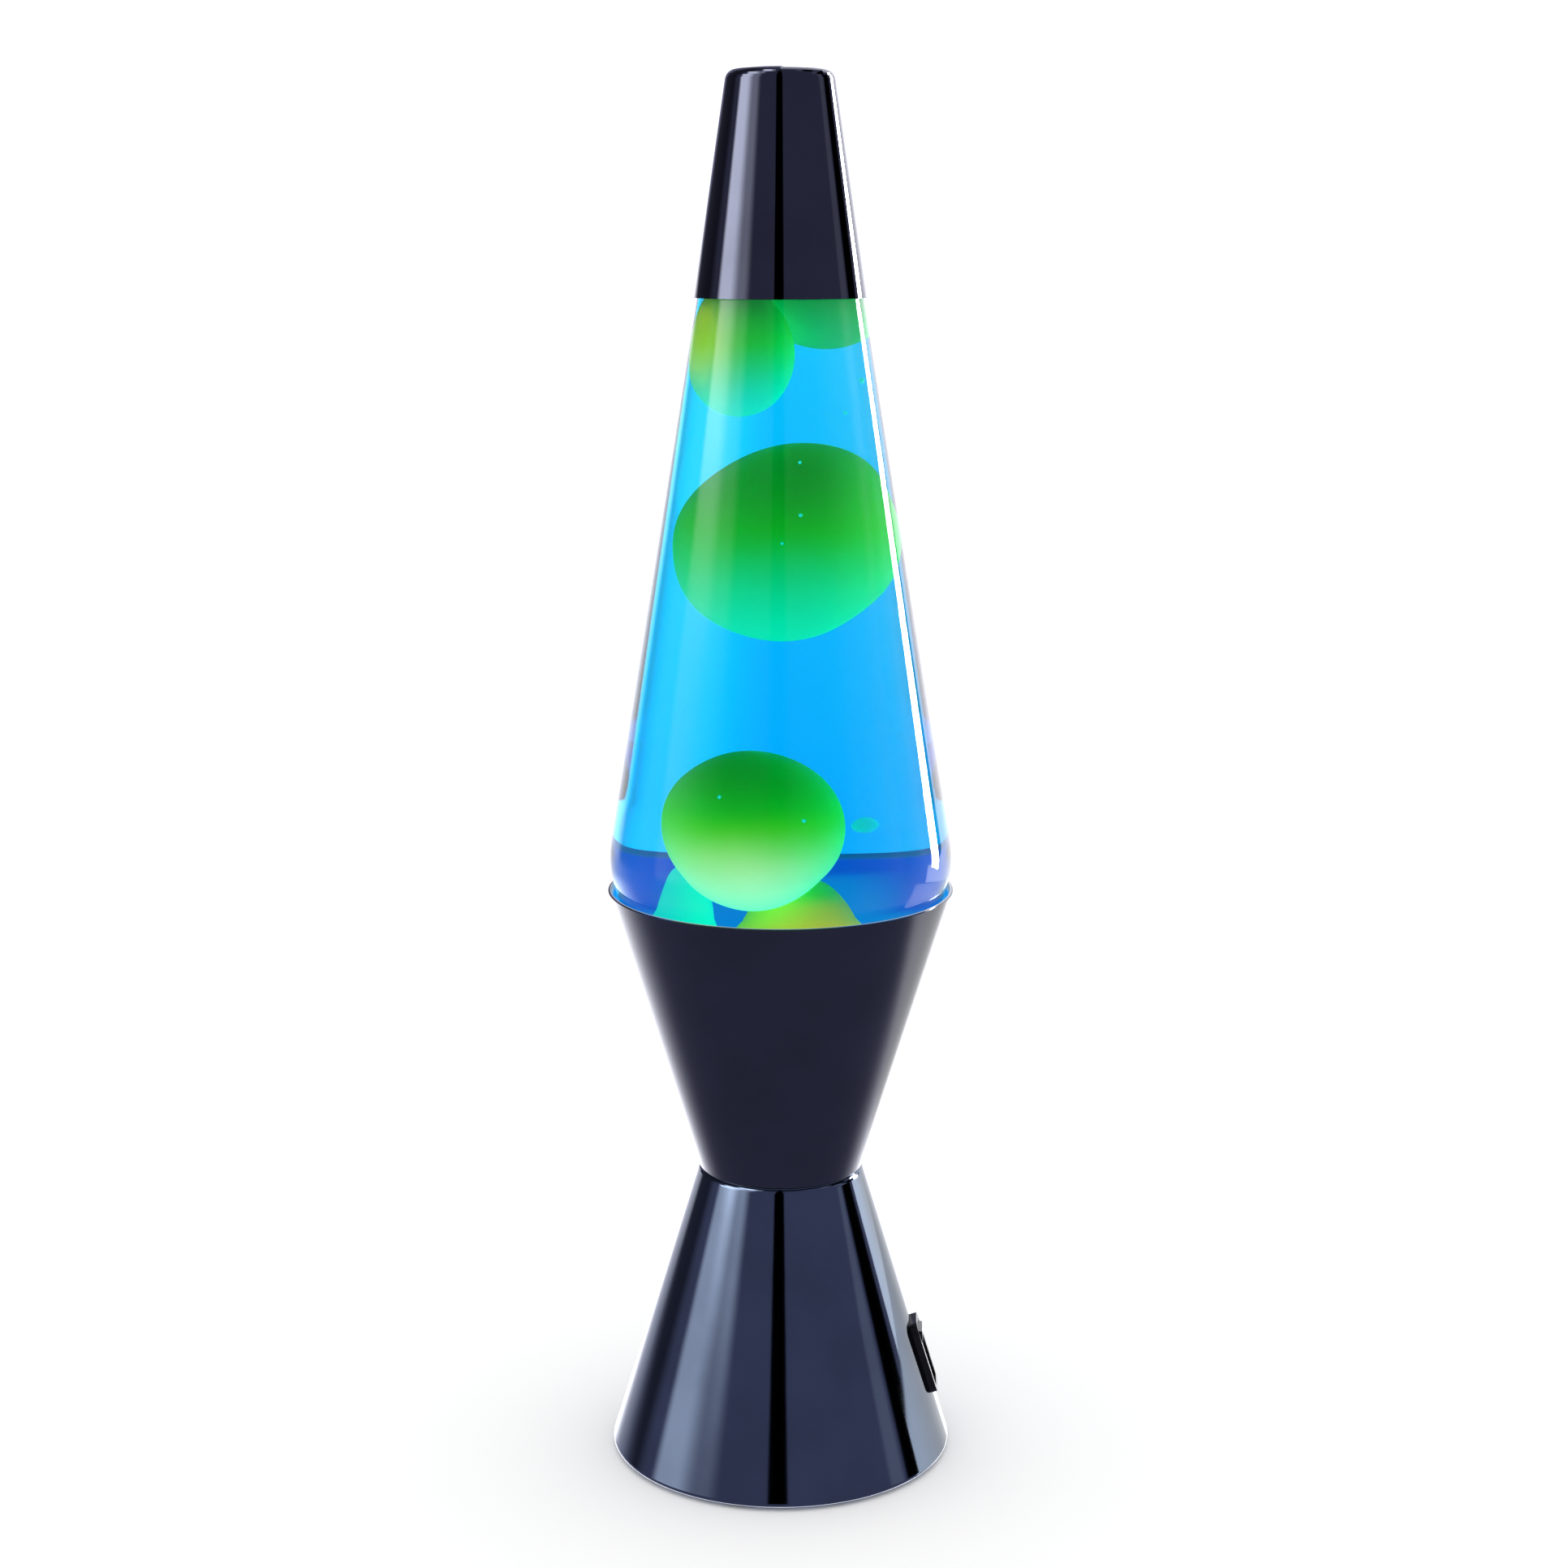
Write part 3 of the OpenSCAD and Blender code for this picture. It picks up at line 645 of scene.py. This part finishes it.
def blob_mesh(centre, size, lean=(0, 0), belly=0.0, lumps=0.05, seed=0.0, sides=96):
    """Points and faces of a soft blob in mm: a lean, a fuller foot and slow lumps, held in by the glass."""
    rings = sides // 2
    points, faces = [], []
    for i in range(rings + 1):
        polar = math.pi * i / rings
        out, up = math.sin(polar), math.cos(polar)
        for k in range(sides):
            angle = 2 * math.pi * k / sides
            d = Vector((out * math.cos(angle), out * math.sin(angle), up))
            p = d * (1 + lumps * noise.noise(d * LUMP_SCALE + Vector((seed, seed * 1.7, 3.1))))
            fuller = 1 - belly * p.z
            flat = Vector((centre[0] + size[0] * p.x * fuller + lean[0] * p.z,
                           centre[1] + size[1] * p.y * fuller + lean[1] * p.z))
            z = max(centre[2] + size[2] * p.z, inner_floor(flat.length) + FILM)
            most = inner_radius(z) - FILM
            if flat.length > most:
                flat *= most / flat.length
            points.append((flat.x * MM, flat.y * MM, z * MM))
    for i in range(rings):
        for k in range(sides):
            j = (k + 1) % sides
            faces.append([i * sides + k, (i + 1) * sides + k, (i + 1) * sides + j, i * sides + j])
    return points, faces


def weld(piece):
    """Joins the ring of points at each pole into one."""
    mesh = bmesh.new()
    mesh.from_mesh(piece.data)
    bmesh.ops.remove_doubles(mesh, verts=mesh.verts, dist=SAME_POINT)
    bmesh.ops.recalc_face_normals(mesh, faces=mesh.faces)
    mesh.to_mesh(piece.data)
    mesh.free()


def make_blob(name, body, centre, size, glow, colour=GREEN_WAX, ambient=(0, 0, 0), red_band=None,
              painted_lime_side=None, **shape):
    """A blob of wax in mm: centre, half size, the painted light it gives off, and its shape."""
    points, faces = blob_mesh(centre, size, **shape)
    low, high = (centre[2] - size[2]) * MM, (centre[2] + size[2]) * MM
    material = wax_with_painted_glow(name + "_wax", colour, low, high, glow, ambient, red_band, painted_lime_side)
    piece = mesh_piece(name, points, faces, body, material)
    weld(piece)
    return piece


def make_moving_wax():
    # The glow and ambient colours are painted light from the bulb below; painted_lime_side paints the upper
    # blob lime on its left.
    upper = make_blob("upper_blob", "upper_wax", centre=(-9.1, -4.6, 297.4), size=(11.9, 11.0, 16.6),
                      glow=(0, 0.75, 0.6), ambient=(0, 0.12, 0.02),
                      painted_lime_side=(-0.0175, -0.0075, (0.53, 0.97, 0.004)),
                      lean=(-0.4, 0), belly=0.03, lumps=0.03, seed=2.3)
    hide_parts("wax_upper")
    middle = make_blob("middle_blob", "middle_wax", centre=(1.8, 0, 248.8), size=(22.7, 20.8, 25.3),
                       glow=(0, 0.96, 0.44), colour=(0.08, 0.72, 0.03),
                       lean=(2.2, 0), belly=0.07, lumps=0.06, seed=5.1)
    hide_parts("wax_middle")
    lower = make_blob("lower_blob", "lower_wax", centre=(-6.3, -14, 176.4), size=(20.2, 19.2, 19.4),
                      glow=(5.2, 1.38, 0.62), belly=0.02, lumps=0.03, seed=1.2)
    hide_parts("wax_lower")


def make_fixed_wax():
    """The wax that stays with the bottle, at its top and on its floor."""
    # Each glow is painted light; the mound's strong red glow is painted light from the bulb under it.
    right = make_blob("upper_right_blob", "bottle", centre=(6.3, 7.0, 311.2), size=(12.2, 8.0, 14.4),
                      glow=(0, 0.3, 0.16), ambient=(0, 0.14, 0.03), lean=(-2, 0), lumps=0.02, seed=8.2)
    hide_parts("wax_upper_right")
    mound = make_blob("mound", "bottle", centre=(4.0, -2, 138), size=(17.0, 16.0, 22.3),
                      glow=(27, 2.8, 0.15), colour=(0.7, 0.7, 0.05), ambient=(2, 0.13, 0.02),
                      red_band=(0.02, 0.09, 0.14), belly=0.1, lumps=0.02, seed=3.3)
    make_blob("pool", "bottle", centre=(0, 0, 128.5), size=(29.5, 29.5, 6.5),
              glow=(4.0, 0.7, 0.05), colour=WAX_COLOUR, lumps=0.02, seed=7.7)
    make_blob("side_mound", "bottle", centre=(-17.2, 12, 141), size=(6.9, 6.9, 19.6),
              glow=(0, 1.0, 2.4), ambient=(0, 0.8, 0.6), belly=0.1, lumps=0.03, seed=4.4)
    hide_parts("wax_mound")


# Centre, half width and half height in mm.
DROPLETS = [(15.4, 13, 170.9, 2.5, 2.0), (18, -6, 290, 0.7, 0.7), (4.8, -24.6, 258, 0.45, 0.45),
            (4.6, -22.5, 271, 0.4, 0.4), (0.4, -25.2, 251, 0.35, 0.35), (-14.8, -33.6, 188, 0.45, 0.45),
            (5.6, -34, 182, 0.5, 0.45), (14, -8, 282, 0.45, 0.4)]


def make_droplets():
    for i, (x, y, z, wide, high) in enumerate(DROPLETS):
        # Each droplet's glow and ambient colours are painted light.
        drop = make_blob("droplet_%d" % i, "bottle", (x, y, z), (wide, wide, high), (0, 0.7, 0.6),
                         colour=(0.05, 0.6, 0.45), ambient=(0, 0.6, 0.4), lumps=0.1, seed=6.0 + i, sides=24)
        if i == 0:
            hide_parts("wax_droplets")


make_moving_wax()
make_fixed_wax()
make_droplets()

# ---------- Stage and light ----------

FLOOR_SIZE = 16
FLOOR_Z = -0.0002
FLOOR_COLOUR = (0.92, 0.92, 0.92)
PANEL_DISTANCE = 0.6
# Where a panel's light starts and stops changing, as a share of its width from its middle.
PANEL_NEAR, PANEL_FAR = -0.5, 0.2
PLAIN_LEVEL = 1.2
# The walls that show in mirrors: their blue level, and the share of it that red and green have.
WALL_LEVEL = 0.47
WALL_SHARE = 0.65


def make_floor():
    """A pale floor that lights the lamp but shows neither in it nor through it."""
    bpy.ops.mesh.primitive_plane_add(size=FLOOR_SIZE, location=(0, 0, FLOOR_Z))
    floor = bpy.context.object
    floor.name = "floor"
    material, n, s, _ = new_material("floor")
    s.inputs["Base Color"].default_value = rgb(*FLOOR_COLOUR)
    s.inputs["Roughness"].default_value = 1.0
    s.inputs["Specular IOR Level"].default_value = 0.0
    dress(floor, material)
    floor.visible_glossy = False
    floor.visible_transmission = False


def dark_gaps(n, around, right):
    """1 where the studio has a dark gap between its walls: in front, on the right, and two behind."""
    front = degrees_band(n, around, -8.5, 4.5, 1)
    side = degrees_band(n, right, 91, 108, 1.5)
    thin = degrees_band(n, around, 132, 138, 0.8)
    left_back = n.math("MULTIPLY", degrees_band(n, around, -152, -106, 7), 0.75)
    return n.math("MAXIMUM", n.math("MAXIMUM", front, side), n.math("MAXIMUM", thin, left_back))


def left_panel(n, around, up):
    """A bright panel on the left with a sharp near edge, brighter towards its top."""
    rise = degrees_step(n, around, -95, -87)
    fall = degrees_step(n, around, -74, -57, 1.0, 0.25)
    edge = degrees_step(n, around, -52, -40, 1.0, 0.0)
    level = degrees_step(n, up, 5, 12, 1.9, 6.8)
    return n.math("MULTIPLY", n.math("MULTIPLY", n.math("MULTIPLY", rise, fall), edge), level)


def reflected_studio(n, around, up):
    """What metal and glass reflect: level of the plain walls, and level of the white panels over them."""
    above = degrees_step(n, up, -12, -6)
    on_cap = degrees_step(n, up, 4, 8)
    right = n.math("SUBTRACT", around, n.math("MULTIPLY", on_cap, math.radians(12)))
    dark = n.math("MULTIPLY", dark_gaps(n, around, right), above)
    walls = n.math("MULTIPLY", n.math("SUBTRACT", 1.0, dark), WALL_LEVEL)

    pale = n.math("MULTIPLY", degrees_band(n, right, 77, 88, 2), 0.3)
    back = n.math("MULTIPLY", degrees_band(n, around, 139, 200, 1), 1.5)
    not_cap = degrees_step(n, up, 1, 4, 1.2, 0.0)
    far_left = n.math("MULTIPLY", degrees_band(n, around, -200, -138, 6), not_cap)
    panels = n.math("ADD", n.math("ADD", left_panel(n, around, up), pale), n.math("ADD", back, far_left))
    panels = n.math("MULTIPLY", panels, above)

    far = n.math("ABSOLUTE", around)
    lowest = degrees_step(n, up, -20, -14, 3.0, 1.0)
    behind = n.math("MULTIPLY", degrees_step(n, far, 108, 172), lowest)
    under = n.math("MULTIPLY", behind, n.math("SUBTRACT", 1.0, above))
    return walls, n.math("ADD", panels, under)


def seen_through(n, around, up):
    """How bright the surroundings are from inside the bottle: most beside it, least in front."""
    far = n.math("ABSOLUTE", around)
    behind = degrees_step(n, up, -9, 0, 1.08, 0.95)
    right_back = n.math("MULTIPLY", degrees_band(n, around, 138, 172, 8), 0.35)
    beside = n.math("MULTIPLY", degrees_band(n, far, 55, 118, 8), 1.1)
    right = n.math("MULTIPLY", degrees_band(n, around, 95, 130, 6), 1.6)
    front = n.math("MULTIPLY", degrees_step(n, far, 42, 60, 1.0, 0.0), 0.35)
    bright = n.math("ADD", n.math("ADD", right_back, behind), n.math("ADD", beside, right))
    return n.math("SUBTRACT", bright, front)


def make_world():
    """Plain white for the camera and the soft light; panels and dark gaps for what mirrors and for glass."""
    world = bpy.data.worlds.new("studio")
    bpy.context.scene.world = world
    world.use_nodes = True
    world.cycles.sampling_method = "NONE"
    n = Nodes(world.node_tree)
    x, y, z = n.add("SeparateXYZ", {0: n.add("TexCoord").outputs["Generated"]}).outputs[:3]
    around, up = bearing_of(n, x, y), n.math("ARCSINE", z)
    walls, panels = reflected_studio(n, around, up)
    red_green = n.math("ADD", panels, n.math("MULTIPLY", walls, WALL_SHARE))
    blue = n.math("ADD", panels, walls)
    reflected = n.add("CombineColor", {0: red_green, 1: red_green, 2: blue}).outputs[0]
    path = n.add("LightPath")
    through = seen_through(n, around, up)
    clear = n.add("CombineColor", {0: through, 1: through, 2: through}).outputs[0]
    plain = n.math("MAXIMUM", path.outputs["Is Camera Ray"], path.outputs["Is Diffuse Ray"])
    colour = n.mix(path.outputs["Is Transmission Ray"], reflected, clear)
    colour = n.mix(plain, colour, rgb(*[PLAIN_LEVEL] * 3))
    background = n.add("Background", {"Color": colour, "Strength": 1.0})
    out = n.add("OutputWorld")
    n.put(out.inputs["Surface"], background.outputs[0])


def make_side_light(name, bearing, middle, size, near_level, far_level, lean=0.0):
    """A flat panel that only mirrors show; its light changes from its near side to its far side."""
    turn = math.radians(bearing)
    place = (PANEL_DISTANCE * math.sin(turn), -PANEL_DISTANCE * math.cos(turn), middle)
    bpy.ops.mesh.primitive_plane_add(size=1, location=place)
    panel = bpy.context.object
    panel.name = name
    panel.scale = (size[0], size[1], 1)
    panel.rotation_euler = (math.radians(90), math.radians(lean), turn)
    material, n, s, out = new_material(name)
    across = n.add("SeparateXYZ", {0: object_position(n)}).outputs[0]
    level = n.step(across, PANEL_NEAR, PANEL_FAR, near_level, far_level)
    glow = n.add("Emission", {"Strength": level})
    n.put(out.inputs["Surface"], glow.outputs[0])
    dress(panel, material)
    panel.visible_camera = False
    panel.visible_diffuse = False
    panel.visible_transmission = False
    panel.visible_shadow = False


def make_side_lights():
    """A tall strip for the bottle and the cap, and two low wide panels for the lower cone."""
    make_side_light("strip_light", 130, 0.36, (0.11, 0.62), 55.0, 55.0, lean=16.7)
    make_side_light("cone_light", 134, 0.04, (0.5, 0.12), 3.6, 1.6)
    make_side_light("foot_light", 127, -0.13, (0.62, 0.22), 2.6, 1.3)


make_floor()
make_side_lights()
make_world()
bpy.context.scene.view_settings.view_transform = "Standard"
